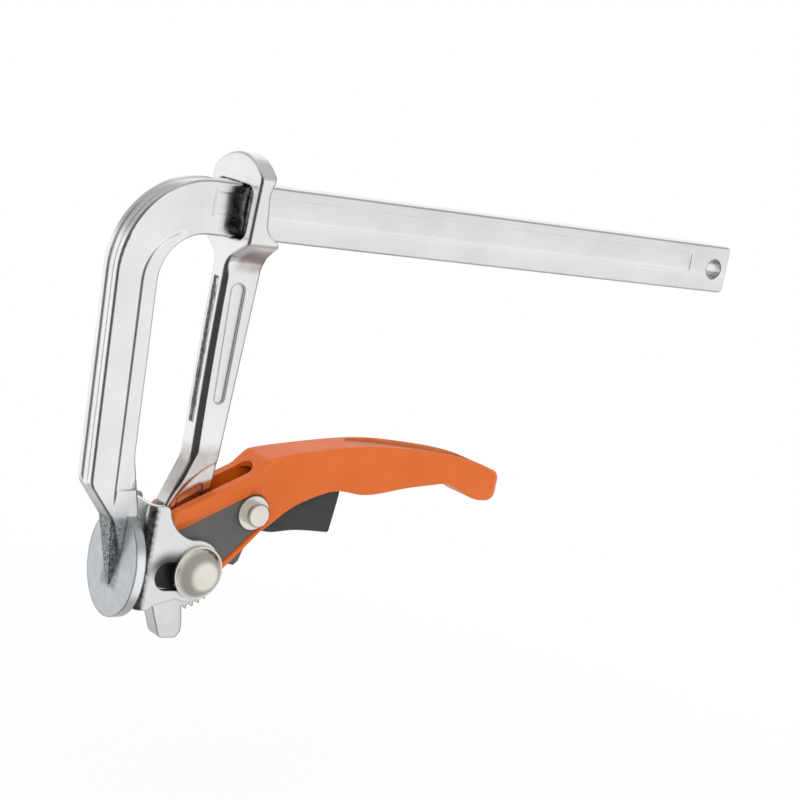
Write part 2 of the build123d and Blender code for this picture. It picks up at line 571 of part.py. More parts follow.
with BuildPart() as lever:
    with BuildSketch(side_plane()) as lever_outline:
        with BuildLine():
            Polyline(fork(FORK_START, FORK_NOSE), fork(FORK_START + 0.5, FORK_TOP), neck_foot, HANDLE_TOP[0])
            Spline(*HANDLE_TOP, tangents=[(1, 0.25), (1, -0.33)])
            ThreePointArc(HANDLE_TOP[-1], HANDLE_TIP, HANDLE_BELLY[0])
            Spline(*HANDLE_BELLY, tangents=[(-1, 0.0), (-1, -0.85)])
            Polyline(
                HANDLE_BELLY[-1], FORK_UNDERSIDE, polar(LEVER_LOBE, -42), polar(LEVER_LOBE * 0.9, 200),
                fork(FORK_START, FORK_NOSE),
            )
        make_face()
        fillet(corners(lever_outline, fork(FORK_START, FORK_TOP)), FORK_NOSE_RADIUS)
        fillet(corners(lever_outline, neck_foot), NECK_FOOT_RADIUS)
        fillet(corners(lever_outline, HANDLE_TOP[0]), NECK_CREST_RADIUS)
        with Locations((PIVOT_X, 0)):
            Circle(LEVER_LOBE)
    extrude(amount=LEVER_HALF_WIDTH, both=True)
    # plan shape: straight fork, drawn-in handle
    with BuildSketch(Plane.XY.offset(PLAN_FLOOR)):
        with BuildLine():
            Polyline(
                (HANDLE_TIP[0] + 6, 0), (HANDLE_TIP[0] + 6, HANDLE_END_HALF_WIDTH),
                (HANDLE_START, HANDLE_HALF_WIDTH), (FORK_PLAN_END, LEVER_HALF_WIDTH),
                (PLATE_X, LEVER_HALF_WIDTH), (PLATE_X, 0),
            )
            mirror(about=Plane.XZ)
        make_face()
    extrude(amount=PLAN_HEIGHT, mode=Mode.INTERSECT)
    flank_edges = lever.edges().filter_by(lambda e: abs(e.center().Y) > HANDLE_END_HALF_WIDTH - 1)
    fillet(flank_edges.filter_by(Axis.Z, reverse=True), LEVER_EDGE)
    # end rounded in plan
    with BuildSketch(Plane.XY.offset(PLAN_FLOOR)):
        with Locations((HANDLE_TIP[0] - HANDLE_END_ROUND, 0)):
            Circle(HANDLE_END_ROUND)
        with Locations((HANDLE_TIP[0] - HANDLE_END_ROUND - PLAN_LENGTH / 2, 0)):
            Rectangle(PLAN_LENGTH, 2 * LEVER_HALF_WIDTH + 2)
    extrude(amount=PLAN_HEIGHT, mode=Mode.INTERSECT)
    add(thumb_trough.part, mode=Mode.SUBTRACT)
    # fork slot and hollow underside
    along_fork = Plane(origin=(PIVOT_X, 0, 0), x_dir=(TILT_X, 0, TILT_Z), z_dir=(-TILT_Z, 0, TILT_X))
    with BuildSketch(along_fork.offset(FORK_CUT_FLOOR)):
        with Locations(((FORK_SLOT_START + FORK_SLOT_END) / 2, 0)):
            Rectangle(FORK_SLOT_END - FORK_SLOT_START, 2 * FORK_HALF_GAP)
        with Locations((FORK_SLOT_END, 0)):
            Circle(FORK_HALF_GAP)
    extrude(amount=FORK_CUT, mode=Mode.SUBTRACT)
    with BuildSketch(side_plane()):
        with BuildLine():
            Polyline(HOLLOW_MOUTH[0], *ROOF, HOLLOW_MOUTH[1], close=True)
        make_face()
    extrude(amount=FORK_HALF_GAP, both=True, mode=Mode.SUBTRACT)
    with BuildSketch(Plane.XY.offset(SPRING_SEAT_FOOT)):
        with Locations((SPRING_X, 0)):
            Circle(SPRING_RADIUS + WIRE_RADIUS + 0.2)
    extrude(amount=SPRING_SEAT_ROOF - SPRING_SEAT_FOOT, mode=Mode.SUBTRACT)
    # recess for a side plate in each cheek
    for side in (-1, 1):
        with BuildSketch(fork_plane(side * SIDE_PLATE_INNER)):
            add(side_plate_outline(RIM_CLEARANCE))
        extrude(amount=-side * RECESS_CUT, mode=Mode.SUBTRACT)
    with Locations(axis_plane(PIVOT_X, 0, 0)):
        Hole(PIN_RADIUS + RUNNING_FIT)
    with Locations(axis_plane(PAWL_PIN_X, 0, PAWL_PIN_Z)):
        Hole(PAWL_PIN_RADIUS + RUNNING_FIT)

save(lever, "lever")

# Side plates: steel cheeks set into the lever, they carry both pins and press the plate with their cams
for side, name in ((-1, "near"), (1, "far")):
    with BuildPart() as side_plate:
        with BuildSketch(fork_plane(side * SIDE_PLATE_INNER)):
            add(side_plate_outline(0))
            Circle(PIN_RADIUS + RUNNING_FIT, mode=Mode.SUBTRACT)
            with Locations((PAWL_PIN_S, PAWL_PIN_N)):
                Circle(PAWL_PIN_RADIUS + RUNNING_FIT, mode=Mode.SUBTRACT)
        extrude(amount=-side * SIDE_PLATE_THICKNESS)
        chamfer(side_plate.faces().sort_by(Axis.Y)[-1 if side > 0 else 0].outer_wire().edges(), 0.3)
    save(side_plate, "side_plate_" + name)

# Pawl pin with a head on each side, washers under the heads, spacers beside the pawl
PAWL_HALF = 4.3
SPACER = 0.8
PAWL_SPACER_RADIUS = 5.5
PAWL_WASHER_RADIUS = 7.3
PAWL_WASHER = 1.3
PIN_HEAD_RADIUS = 5.1
PIN_HEAD_HEIGHT = 4.3
PIN_HEAD_EDGE = 0.6
PIN_HEAD_FACE = SIDE_PLATE_OUTER + PAWL_WASHER
PIN_HEAD_TOP = PIN_HEAD_FACE + PIN_HEAD_HEIGHT

with BuildPart() as pawl_pin:
    with Locations(axis_plane(PAWL_PIN_X, 0, PAWL_PIN_Z)):
        Cylinder(PAWL_PIN_RADIUS, 2 * PIN_HEAD_TOP)
    for side in (-1, 1):
        with BuildSketch(Plane(origin=(PAWL_PIN_X, side * PIN_HEAD_FACE, PAWL_PIN_Z), z_dir=(0, side, 0))):
            Circle(PIN_HEAD_RADIUS)
        extrude(amount=PIN_HEAD_HEIGHT)
    head_rims = pawl_pin.edges().filter_by(GeomType.CIRCLE)
    chamfer([head_rims.sort_by(Axis.Y)[0], head_rims.sort_by(Axis.Y)[-1]], PIN_HEAD_EDGE)

save(pawl_pin, "pawl_pin")

PAWL_RING_BORE = PAWL_PIN_RADIUS + 0.02
PAWL_AXIS = (PAWL_PIN_X, PAWL_PIN_Z)
save_rings("pawl_washer", PAWL_WASHER_RADIUS, PAWL_RING_BORE, PAWL_AXIS, SIDE_PLATE_OUTER, PAWL_WASHER)
save_rings("pawl_spacer", PAWL_SPACER_RADIUS, PAWL_RING_BORE, PAWL_AXIS, PAWL_HALF + RUNNING_FIT, SPACER)

# Pawl: engaged shape laid out round its pin, then swung clear of the teeth
PAWL_LOBE = 6.0
PAWL_THROAT = ((4.5, -8.0), (4.0, -3.0))
NOSE_RADIUS = RATCHET_ROOT + 0.4
NOSE_ANGLE = PAWL_GAP + 0.6
NOSE_FLAT = 3.0
TAIL_HALF = 2.5
TAIL_END_X = 79.0
PAWL_PIN = Vector(PAWL_PIN_X, PAWL_PIN_Z)
nose = Vector(*polar(NOSE_RADIUS, NOSE_ANGLE)) - PAWL_PIN
brow = Vector(*polar(RATCHET_TIP + 0.9, PAWL_GAP + 7.5)) - PAWL_PIN
heel = nose + Vector(-nose.Y, nose.X).normalized() * NOSE_FLAT


def tail_outline(grow):
    """Side view of the pawl's tail, which the trigger is closed round."""
    with BuildSketch() as outline:
        with BuildLine():
            Polyline(
                (PAWL_PIN_X, PAWL_PIN_Z + 4 + grow), (TAIL_END_X + grow, PAWL_PIN_Z + 1 + grow),
                (TAIL_END_X + grow, PAWL_PIN_Z - 5 - grow), (PAWL_PIN_X + 3, PAWL_PIN_Z - 4 - grow),
                (PAWL_PIN_X, PAWL_PIN_Z + 4 + grow),
            )
        make_face()
    return outline.sketch


swing = radians(PAWL_SWING)
swung = Plane(origin=(PAWL_PIN_X, 0, PAWL_PIN_Z), x_dir=(cos(swing), 0, sin(swing)), z_dir=(0, -1, 0))

with BuildPart() as pawl:
    # beak laid out as it sits in a tooth gap, on a plane swung clear of the teeth
    with BuildSketch(swung):
        with BuildLine():
            Polyline(
                nose, heel, (heel.X + 2.2, heel.Y + 1.6), *PAWL_THROAT, (-PAWL_LOBE, 0), brow, close=True
            )
        make_face()
        Circle(PAWL_LOBE)
    extrude(amount=PAWL_HALF, both=True)
    with BuildSketch(side_plane()):
        add(tail_outline(0))
    extrude(amount=TAIL_HALF, both=True)
    with Locations(axis_plane(PAWL_PIN_X, 0, PAWL_PIN_Z)):
        Hole(PAWL_PIN_RADIUS + RUNNING_FIT)

save(pawl, "pawl")

# Trigger: moulded finger piece closed round the pawl's tail
TRIGGER_HALF = 4.8
TRIGGER_BELLY = [(60.8, 15.6), (68.2, 14.7), (74.7, 15.4), (82.4, 15.7), (90.4, 15.3), (97.2, 14.9)]
TRIGGER_FRONT = (98.9, 30.0)
TRIGGER_TOP = [(98.0, 37.5), (80.0, 34.8), (66.5, 30.6)]
TRIGGER_BACK = (60.5, 30.0)
TAIL_CLEARANCE = 0.05
TRIGGER_CORNER_RADIUS = 1.2
TRIGGER_EDGE = 0.6

with BuildPart() as trigger:
    with BuildSketch(side_plane()) as trigger_outline:
        with BuildLine():
            Spline(*TRIGGER_BELLY, tangents=[(1, -0.3), (1, -0.05)])
            Polyline(TRIGGER_BELLY[-1], TRIGGER_FRONT, TRIGGER_TOP[0])
            Spline(*TRIGGER_TOP, tangents=[(-1, -0.1), (-1, -0.4)])
            Polyline(TRIGGER_TOP[-1], TRIGGER_BACK, TRIGGER_BELLY[0])
        make_face()
        fillet(corners(trigger_outline, TRIGGER_BELLY[-1], TRIGGER_TOP[0]), TRIGGER_CORNER_RADIUS)
    extrude(amount=TRIGGER_HALF, both=True)
    flanks = trigger.edges().filter_by(lambda e: abs(e.center().Y) > TRIGGER_HALF - 0.5)
    belly_edges = flanks.filter_by(lambda e: e.center().Z < 25 and e.center().X > TRIGGER_BELLY[0][0] + 0.2)
    chamfer(belly_edges, TRIGGER_EDGE)
    with BuildSketch(side_plane()):
        add(tail_outline(TAIL_CLEARANCE))
    extrude(amount=TAIL_HALF + TAIL_CLEARANCE, both=True, mode=Mode.SUBTRACT)

save(trigger, "trigger")

# Spring of the pawl: seated in the lever's roof, above the trigger
SPRING_RISE = SPRING_TOP - SPRING_BOTTOM - 2 * WIRE_RADIUS

with BuildPart() as pawl_spring:
    with BuildLine(Plane(origin=(SPRING_X, 0, SPRING_BOTTOM + WIRE_RADIUS))) as coil:
        Helix(pitch=SPRING_RISE / SPRING_TURNS, height=SPRING_RISE, radius=SPRING_RADIUS)
    with BuildSketch(Plane(origin=coil.line @ 0, z_dir=coil.line % 0)):
        RegularPolygon(WIRE_RADIUS, 6)
    sweep(is_frenet=True)

save(pawl_spring, "pawl_spring")
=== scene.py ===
import math

import bmesh
import bpy
from mathutils import Matrix, Vector


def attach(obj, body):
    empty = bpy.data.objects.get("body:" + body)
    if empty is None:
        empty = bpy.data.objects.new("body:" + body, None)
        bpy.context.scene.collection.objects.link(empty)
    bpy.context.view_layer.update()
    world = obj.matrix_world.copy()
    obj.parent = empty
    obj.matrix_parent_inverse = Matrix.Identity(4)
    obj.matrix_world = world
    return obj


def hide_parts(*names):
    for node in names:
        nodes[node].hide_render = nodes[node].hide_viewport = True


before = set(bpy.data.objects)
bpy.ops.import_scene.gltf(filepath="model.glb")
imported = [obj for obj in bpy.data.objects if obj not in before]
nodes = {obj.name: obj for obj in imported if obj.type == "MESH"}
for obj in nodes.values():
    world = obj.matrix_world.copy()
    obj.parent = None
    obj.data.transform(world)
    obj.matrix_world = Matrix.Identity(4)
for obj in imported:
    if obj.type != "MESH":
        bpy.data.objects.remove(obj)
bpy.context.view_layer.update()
scene = bpy.context.scene
scene.view_settings.view_transform = "Standard"

# Camera: the photograph's viewing angle, with its turn about the line of sight
AZIMUTH = math.radians(38.96)
ELEVATION = math.radians(9.81)
TURN = math.radians(11.31)
SHIFT_RIGHT = 0.11236
SHIFT_UP = 0.06534
DISTANCE = 0.86133
SENSOR = 36.0
FOCAL_PIXELS = 2139.58
FRAME_PIXELS = 800


def place_camera():
    back = Vector((
        -math.sin(AZIMUTH) * math.cos(ELEVATION),
        -math.cos(AZIMUTH) * math.cos(ELEVATION),
        math.sin(ELEVATION),
    ))
    level = Vector((math.cos(AZIMUTH), -math.sin(AZIMUTH), 0))
    upright = back.cross(level).normalized()
    right = level * math.cos(TURN) + upright * math.sin(TURN)
    up = upright * math.cos(TURN) - level * math.sin(TURN)
    place = right * SHIFT_RIGHT + up * SHIFT_UP + back * DISTANCE
    data = bpy.data.cameras.new("photo_camera")
    data.sensor_width = SENSOR
    data.lens = FOCAL_PIXELS / FRAME_PIXELS * SENSOR
    data.clip_start = 0.01
    data.clip_end = 20
    camera = bpy.data.objects.new("photo_camera", data)
    scene.collection.objects.link(camera)
    camera.matrix_world = Matrix((
        (right.x, up.x, back.x, place.x),
        (right.y, up.y, back.y, place.y),
        (right.z, up.z, back.z, place.z),
        (0, 0, 0, 1),
    ))
    scene.camera = camera


place_camera()


def greys(stops):
    """Ramp stops in grey, from pairs of a position and a value."""
    return [(position, (value, value, value)) for position, value in stops]


class Tree:
    """A node tree with short ways to add and join nodes."""

    def __init__(self, owner):
        owner.use_nodes = True
        self.nodes = owner.node_tree.nodes
        self.links = owner.node_tree.links

    def add(self, kind, **values):
        node = self.nodes.new(kind)
        for key, value in values.items():
            setattr(node, key, value)
        return node

    def feed(self, socket, value):
        """Joins an output, or sets a plain value."""
        if hasattr(value, "is_linked"):
            self.links.new(value, socket)
        else:
            socket.default_value = value

    def calc(self, operation, first, second=0.0):
        node = self.add("ShaderNodeMath", operation=operation)
        self.feed(node.inputs[0], first)
        self.feed(node.inputs[1], second)
        return node.outputs[0]

    def plus(self, first, second):
        return self.calc("ADD", first, second)

    def minus(self, first, second):
        return self.calc("SUBTRACT", first, second)

    def times(self, first, second):
        return self.calc("MULTIPLY", first, second)

    def square(self, value):
        return self.times(value, value)

    def spread(self, source, low, high, start=0.3, end=0.7, soft=False):
        """Turns the range from start to end into the range from low to high."""
        node = self.add("ShaderNodeMapRange", interpolation_type="SMOOTHSTEP" if soft else "LINEAR")
        node.inputs["From Min"].default_value = start
        node.inputs["From Max"].default_value = end
        node.inputs["To Min"].default_value = low
        node.inputs["To Max"].default_value = high
        self.feed(node.inputs["Value"], source)
        return node.outputs["Result"]

    def rise(self, source, start, end, soft=True):
        """0 before start and 1 past end."""
        return self.spread(source, 0.0, 1.0, start, end, soft=soft)

    def fall(self, source, start, end, soft=True):
        """1 before start and 0 past end."""
        return self.spread(source, 1.0, 0.0, start, end, soft=soft)

    def blend(self, share, first, second):
        """Mixes two numbers or two colours."""
        colour = isinstance(second, tuple) or getattr(second, "type", "") == "RGBA"
        node = self.add("ShaderNodeMix", data_type="RGBA" if colour else "FLOAT")
        places = (0, 6, 7) if colour else (0, 2, 3)
        for place, value in zip(places, (share, first, second)):
            self.feed(node.inputs[place], (*value, 1.0) if isinstance(value, tuple) else value)
        return node.outputs[2 if colour else 0]

    def tint(self, first, second):
        """Multiplies two colours."""
        node = self.add("ShaderNodeMix", data_type="RGBA", blend_type="MULTIPLY")
        node.inputs[0].default_value = 1.0
        self.feed(node.inputs[6], first)
        self.feed(node.inputs[7], second)
        return node.outputs[2]

    def ramp(self, source, stops, smooth="LINEAR"):
        node = self.add("ShaderNodeValToRGB")
        band = node.color_ramp
        band.interpolation = smooth
        while len(band.elements) < len(stops):
            band.elements.new(0.5)
        for element, (position, colour) in zip(band.elements, stops):
            element.position = position
            element.color = (*colour, 1.0)
        self.feed(node.inputs["Fac"], source)
        return node.outputs["Color"]

    def split(self, vector):
        node = self.add("ShaderNodeSeparateXYZ")
        self.feed(node.inputs[0], vector)
        return node.outputs


# Where a surface counts as facing the side, and where an edge counts as rounded
FACING_SIDE = (0.97, 0.995)
UPRIGHT_EDGE = (0.45, 0.80)
LYING_EDGE = (0.45, 0.85)


class Finish(Tree):
    """A material laid out by the object's own coordinates, in metres."""

    def __init__(self, name):
        self.material = bpy.data.materials.new(name)
        super().__init__(self.material)
        self.shader = self.nodes["Principled BSDF"]
        self.place = self.add("ShaderNodeTexCoord").outputs["Object"]
        self.x, self.y, self.z = self.split(self.place)
        self.relief = None

    def noise(self, scale, detail=3.0, rough=0.5):
        node = self.add("ShaderNodeTexNoise")
        node.inputs["Scale"].default_value = scale
        node.inputs["Detail"].default_value = detail
        node.inputs["Roughness"].default_value = rough
        self.feed(node.inputs["Vector"], self.place)
        return node.outputs["Fac"]

    def clouds(self, source, dark, light, limits=(0.3, 0.7)):
        """Two colours that run into each other."""
        return self.ramp(source, list(zip(limits, (dark, light))))

    def within(self, source, low, high, edge):
        """1 between two limits, easing to 0 outside them."""
        return self.times(
            self.rise(source, low - edge, low + edge), self.fall(source, high - edge, high + edge)
        )

    def box(self, low, high, edge):
        """1 inside a box, easing to 0 outside it."""
        share = self.within(self.x, low[0], high[0], edge)
        share = self.times(share, self.within(self.y, low[1], high[1], edge))
        return self.times(share, self.within(self.z, low[2], high[2], edge))

    def bump(self, height, distance, strength=1.0):
        """Adds one more layer of relief."""
        node = self.add("ShaderNodeBump")
        node.inputs["Distance"].default_value = distance
        node.inputs["Strength"].default_value = strength
        self.feed(node.inputs["Height"], height)
        if self.relief is not None:
            self.feed(node.inputs["Normal"], self.relief)
        self.relief = node.outputs["Normal"]
        self.feed(self.shader.inputs["Normal"], self.relief)

    def flatten(self, share):
        """Turns the relief of the side faces to face straight out where the share is 1."""
        level = self.add("ShaderNodeCombineXYZ")
        self.feed(level.inputs[1], self.calc("SIGN", self.y))
        node = self.add("ShaderNodeMix", data_type="VECTOR")
        self.feed(node.inputs[0], share)
        self.feed(node.inputs[4], self.relief)
        self.feed(node.inputs[5], level.outputs[0])
        self.relief = node.outputs[1]
        self.feed(self.shader.inputs["Normal"], self.relief)

    def soften(self, radius):
        """Rounds the light on sharp edges, as forging and plating do."""
        node = self.add("ShaderNodeBevel", samples=6)
        node.inputs["Radius"].default_value = radius
        self.relief = node.outputs["Normal"]

    def facing(self, axis):
        """How far the surface, with its relief, faces along an axis, without the sign."""
        return self.calc("ABSOLUTE", self.split(self.relief)[axis])

    def sides(self):
        """1 where the surface faces straight to either side."""
        return self.rise(self.facing(1), *FACING_SIDE)

    def paint_edge_reflection(self, shade, upright, lying):
        """Paints dark reflections into the metal's colour along its rounded edges: the upright ones, and the
        lying ones.
        """
        x, y, z = (self.facing(axis) for axis in range(3))
        round_upright = self.times(self.times(x, y), 2.0)
        round_lying = self.times(self.times(z, self.calc("MAXIMUM", x, y)), 2.0)
        tone = self.times(
            self.spread(round_upright, 1.0, upright, *UPRIGHT_EDGE, soft=True),
            self.spread(round_lying, 1.0, lying, *LYING_EDGE, soft=True),
        )
        grey = self.add("ShaderNodeCombineXYZ")
        for socket in grey.inputs:
            self.feed(socket, tone)
        return self.tint(shade, grey.outputs[0])

    def paint(self, colour, roughness):
        self.feed(self.shader.inputs["Base Color"], colour)
        self.feed(self.shader.inputs["Roughness"], roughness)


def metal_base(name, dark, light, roughness, grain, grain_depth, swell, edge=0.0):
    """Bare or plated metal: faint clouds, uneven polish, a slow swell from forging and a fine grain."""
    look = Finish(name)
    if edge:
        look.soften(edge)
    look.shader.inputs["Metallic"].default_value = 1.0
    colour = look.clouds(look.noise(45, detail=4), dark, light)
    polish = look.spread(look.noise(160, detail=5), *roughness)
    look.paint(colour, polish)
    look.bump(look.noise(26, detail=0), swell)
    look.bump(look.noise(grain, detail=4), grain_depth, 0.6)
    return look, colour, polish


def plastic_base(name, colour_scale, dark, light):
    """Moulded or coated surface: even colour with faint flow clouds."""
    look = Finish(name)
    return look, look.clouds(look.noise(colour_scale, detail=5), dark, light)


def leather(look, shade, roughness, grain_depth):
    """Uneven gloss and a fine leathery grain."""
    look.paint(shade, look.spread(look.noise(260, detail=4), *roughness))
    look.bump(look.noise(1900, detail=3), grain_depth, 0.5)
    return look.material


# Rail and fixed arm: plated, a soft crease down the arm, coarse grain where the anvil was flattened, and a
# painted reflection band along the rail's side
RAIL_BOTTOM = 0.1365
RAIL_TOP = 0.1585
RAIL_REFLECTION_BAND = [(0.0, 0.90), (0.10, 0.93), (0.30, 0.95), (0.40, 1.0), (0.52, 0.93), (0.8, 0.90), (1.0, 0.88)]
CREASE_CENTRE = (0.00311, 0.11713)
CREASE_RADIUS = 0.0188
CREASE_STEP = (-0.0024, 0.0002)
CREASE_DEPTH = 0.0008
CREASE_HEIGHTS = (0.024, 0.2, 0.006)
ARM_LEAN = (0.99834, 0.05756)
ARM_INTO_BAR = (-0.006, 0.004)
BAR_START = (-0.012, 0.024)
NEAR_HEAD_LENGTH = (0.006, 0.030, 0.008)
NEAR_HEAD_HEIGHT = (0.110, 0.132)
RAIL_SATIN = 0.54
ANVIL = ((-0.02, -0.03, -0.04), (-0.0005, 0.03, 0.024), 0.005)
ANVIL_RIB = ((-0.02, -0.0062, -0.010), (-0.0042, 0.0062, 0.020), 0.0012)
GROOVE_END_FREE = ((0.2753, -0.02, 0.1440), (0.2767, 0.02, 0.1555), 0.0002)
GROOVE_END_BEND = ((0.0088, -0.02, 0.1440), (0.0102, 0.02, 0.1555), 0.0002)
ANVIL_BACK = (-0.0044, -0.0036)
ANVIL_TOP = (0.016, 0.030)
ANVIL_GRAIN_DEPTH = 0.00009
ANVIL_ROUGHNESS = 0.34
ANVIL_DARK, ANVIL_LIGHT = (0.49, 0.515, 0.53), (0.58, 0.605, 0.62)
SOOT = (0.03, 0.033, 0.033)
GROOVE_END_PAINTED_LIGHT = (0.70, 0.71, 0.715)


def crease_height(look):
    """Steps up across the crease that runs down the fixed arm and round into the bend."""
    across = look.minus(look.x, CREASE_CENTRE[0])
    rise = look.minus(look.z, CREASE_CENTRE[1])
    far = look.calc("POWER", look.plus(look.square(across), look.square(rise)), 0.5)
    bend = look.minus(CREASE_RADIUS, far)
    inward = look.plus(look.times(across, ARM_LEAN[0]), look.times(rise, ARM_LEAN[1]))
    straight = look.plus(inward, CREASE_RADIUS)
    along = look.minus(look.times(across, ARM_LEAN[1]), look.times(rise, ARM_LEAN[0]))
    crease = look.blend(look.calc("GREATER_THAN", along, 0.0), bend, straight)
    step = look.rise(crease, *CREASE_STEP)
    on_arm = look.times(look.fall(look.x, *ARM_INTO_BAR), look.within(look.z, *CREASE_HEIGHTS))
    return look.times(step, on_arm)


def rail_finish():
    look, colour, polish = metal_base(
        "plated_bar", dark=(0.84, 0.85, 0.86), light=(0.92, 0.93, 0.935), roughness=(0.17, 0.24),
        grain=1500, grain_depth=0.000012, swell=0.00008, edge=0.0011,
    )
    look.bump(crease_height(look), CREASE_DEPTH)
    anvil = look.box(*ANVIL)
    look.bump(look.times(look.noise(750, detail=6, rough=0.75), anvil), ANVIL_GRAIN_DEPTH)
    speck = look.rise(look.noise(900, detail=5, rough=0.8), 0.42, 0.56, soft=False)
    soot = look.times(look.box(*ANVIL_RIB), look.spread(speck, 0.97, 0.25, start=0.0, end=1.0))
    # painted reflection: the rail's side is brighter in a band a little below the middle and darker towards
    # its top and bottom
    band = look.ramp(look.rise(look.z, RAIL_BOTTOM, RAIL_TOP, soft=False), greys(RAIL_REFLECTION_BAND), "EASE")
    shade = look.blend(look.rise(look.x, *BAR_START), colour, look.tint(colour, band))
    back = look.times(look.fall(look.x, *ANVIL_BACK, soft=False), look.fall(look.z, *ANVIL_TOP))
    dull = look.clouds(look.noise(240, detail=5, rough=0.7), ANVIL_DARK, ANVIL_LIGHT, limits=(0.35, 0.65))
    shade = look.blend(back, shade, dull)
    shade = look.blend(soot, shade, SOOT)
    near_head = look.times(
        look.within(look.x, *NEAR_HEAD_LENGTH), look.rise(look.z, *NEAR_HEAD_HEIGHT, soft=False)
    )
    polish = look.blend(look.times(look.sides(), look.minus(1.0, near_head)), polish, RAIL_SATIN)
    # painted dark reflections along the rounded edges
    shade = look.paint_edge_reflection(shade, upright=0.10, lying=0.45)
    # the steep ends of the long groove would catch the light as hard marks, so they face straight out as a
    # plain pale non-metal: a painted stand-in for the light the side faces reflect
    ends = look.plus(look.box(*GROOVE_END_FREE), look.box(*GROOVE_END_BEND))
    look.flatten(ends)
    look.feed(look.shader.inputs["Metallic"], look.minus(1.0, ends))
    look.paint(look.blend(ends, shade, GROOVE_END_PAINTED_LIGHT), look.blend(anvil, polish, ANVIL_ROUGHNESS))
    return look.material


# Sliding arm: forged and plated, painted shade in the mouth, beaded groove down the front
MOUTH = ((0.0218, -0.0147, 0.1352), (0.0262, 0.0147, 0.1615), 0.0004)
FRONT_GROOVE = ((0.0150, -0.0019, 0.0580), (0.0232, 0.0019, 0.1215), 0.0004)
BEAD_DEPTH = 0.0007
BOW_MIDDLE, BOW_CURVE, BOW_FRONT = 0.110, 0.286, 0.0204
FLARE_START, FLARE_SLOPE, FLARE_FRONT = 0.046, 0.39, 0.0207
SHANK_EDGE = (0.0002, 0.0034)
SHANK_EDGE_DEPTH = 0.0013
SHANK_HEIGHTS = (0.033, 0.1245, 0.006)
LOW_END = (0.010, 0.034)
ARM_SATIN_START = (0.050, 0.080)
ARM_SATIN = 0.50
TOE = ((0.0, -0.01, 0.030), (0.06, 0.01, 0.050), 0.003)
UNDER_HEAD = ((0.026, -0.017, 0.1235), (0.05, 0.017, 0.1335), 0.0018)
MOUTH_PAINTED_SHADE = (0.012, 0.012, 0.013)
LEVER_REFLECTION_TINT = (0.40, 0.32, 0.30)
LOW_DARK, LOW_LIGHT = (0.76, 0.77, 0.78), (0.86, 0.87, 0.88)


def shank_edge_height(look):
    """Steps up behind the front edge of the shank, which bows and then flares to the toe."""
    bow = look.plus(look.times(look.square(look.minus(look.z, BOW_MIDDLE)), BOW_CURVE), BOW_FRONT)
    flare = look.plus(look.times(look.minus(look.z, FLARE_START), FLARE_SLOPE), FLARE_FRONT)
    depth = look.minus(look.x, look.calc("MINIMUM", bow, flare))
    return look.times(look.rise(depth, *SHANK_EDGE), look.within(look.z, *SHANK_HEIGHTS))


def arm_finish():
    look, colour, polish = metal_base(
        "plated_forging", dark=(0.82, 0.82, 0.82), light=(0.89, 0.89, 0.89), roughness=(0.16, 0.22),
        grain=1300, grain_depth=0.000016, swell=0.00008, edge=0.0014,
    )
    # painted shade: the mouth's floor is near black in patches, where shade falls in the recess
    patch = look.spread(look.noise(420, detail=5), 0.75, 1.0, start=0.35, end=0.6)
    shade = look.blend(look.times(look.box(*MOUTH), patch), colour, MOUTH_PAINTED_SHADE)
    beads = look.minus(look.noise(430, detail=1), 0.5)
    look.bump(look.times(beads, look.box(*FRONT_GROOVE)), BEAD_DEPTH)
    look.bump(shank_edge_height(look), SHANK_EDGE_DEPTH)
    low = look.fall(look.z, *LOW_END)
    shade = look.blend(low, shade, look.tint(shade, look.clouds(look.noise(90), LOW_DARK, LOW_LIGHT)))
    # painted reflection of the orange lever, in patches on the toe and under the head
    lever_reflection = look.spread(look.noise(120, detail=4), 0.25, 0.75)
    under = look.box(*UNDER_HEAD)
    for spot in (look.box(*TOE), under):
        shade = look.blend(look.times(spot, lever_reflection), shade, LEVER_REFLECTION_TINT)
    # painted dark reflections along the rounded edges
    shade = look.paint_edge_reflection(shade, upright=0.06, lying=0.55)
    satin = look.times(look.sides(), look.rise(look.z, *ARM_SATIN_START, soft=False))
    look.paint(shade, look.blend(look.calc("MAXIMUM", satin, under), polish, ARM_SATIN))
    return look.material


# Pressure plate: pressed sheet, with painted shade round the slot under the rivet head and a painted dark
# reflection along the bends
SLOT_LEFT = 0.015
SLOT_RIGHT = 0.030
SLOT_DROP = 0.0019
RIVET_SHADE_EDGE = (0.0066, 0.0125)
RIVET_SHADE_LOWER = (-0.005, 0.004)
RIVET_SHADE_SHARE = 0.9
RIVET_SHADE_COLOUR = (0.03, 0.03, 0.032)
PLATE_BEND = ((0.0024, -0.02, -0.02), (0.0056, 0.02, 0.0262), 0.0012)
PLATE_BEND_SIDES = (0.0098, 0.0112)
BEND_REFLECTION_DARK = (0.05, 0.05, 0.052)
PLATE_SATIN = 0.52


